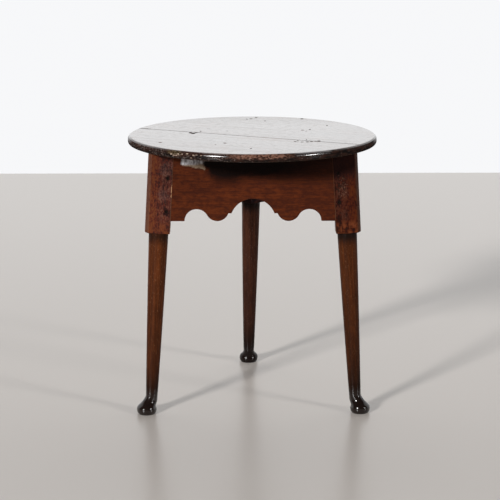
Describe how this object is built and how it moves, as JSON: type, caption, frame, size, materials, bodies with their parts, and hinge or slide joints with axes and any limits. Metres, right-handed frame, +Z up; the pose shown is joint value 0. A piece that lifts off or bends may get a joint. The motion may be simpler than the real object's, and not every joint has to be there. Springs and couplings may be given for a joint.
{
  "type": "cricket table",
  "caption": "Round-topped country side table in dark polished oak, on raked turned legs with pad feet, with shaped friezes tenoned and pegged between the leg blocks.",
  "frame": {"origin": "on the floor, under the centre of the round top", "axes": "+Z up, -Y towards the front frieze, +X to the right seen from the front; the back leg stands on the +Y side"},
  "size_m": [0.632, 0.6556, 0.69],
  "materials": {
    "top_oak": "dark waxed and polished, glossy, worn at the edge",
    "frieze_oak": "dark reddish brown, waxed, with mottled wear",
    "leg_oak": "dark brown, turned and waxed, nearly black at the feet",
    "peg_oak": "darkened end grain",
    "dowel_oak": "bare wood"
  },
  "bodies": {
    "root": {"board_dowel_left": "dowel_oak", "board_dowel_middle": "dowel_oak", "board_dowel_right": "dowel_oak", "frieze_front": "frieze_oak", "frieze_left": "frieze_oak", "frieze_right": "frieze_oak", "leg_back": "leg_oak", "leg_front_left": "leg_oak", "leg_front_right": "leg_oak", "tenon_peg_front_left_lower": "peg_oak", "tenon_peg_front_left_upper": "peg_oak", "tenon_peg_front_right_lower": "peg_oak", "tenon_peg_front_right_upper": "peg_oak", "tenon_peg_left_left_lower": "peg_oak", "tenon_peg_left_left_upper": "peg_oak", "tenon_peg_left_right_lower": "peg_oak", "tenon_peg_left_right_upper": "peg_oak", "tenon_peg_right_left_lower": "peg_oak", "tenon_peg_right_left_upper": "peg_oak", "tenon_peg_right_right_lower": "peg_oak", "tenon_peg_right_right_upper": "peg_oak", "top_back_board": "top_oak", "top_front_board": "top_oak", "top_peg_frieze_front": "peg_oak", "top_peg_frieze_left": "peg_oak", "top_peg_frieze_right": "peg_oak", "top_peg_leg_back": "peg_oak", "top_peg_leg_front_left": "peg_oak", "top_peg_leg_front_right": "peg_oak"}
  },
  "joints": []
}
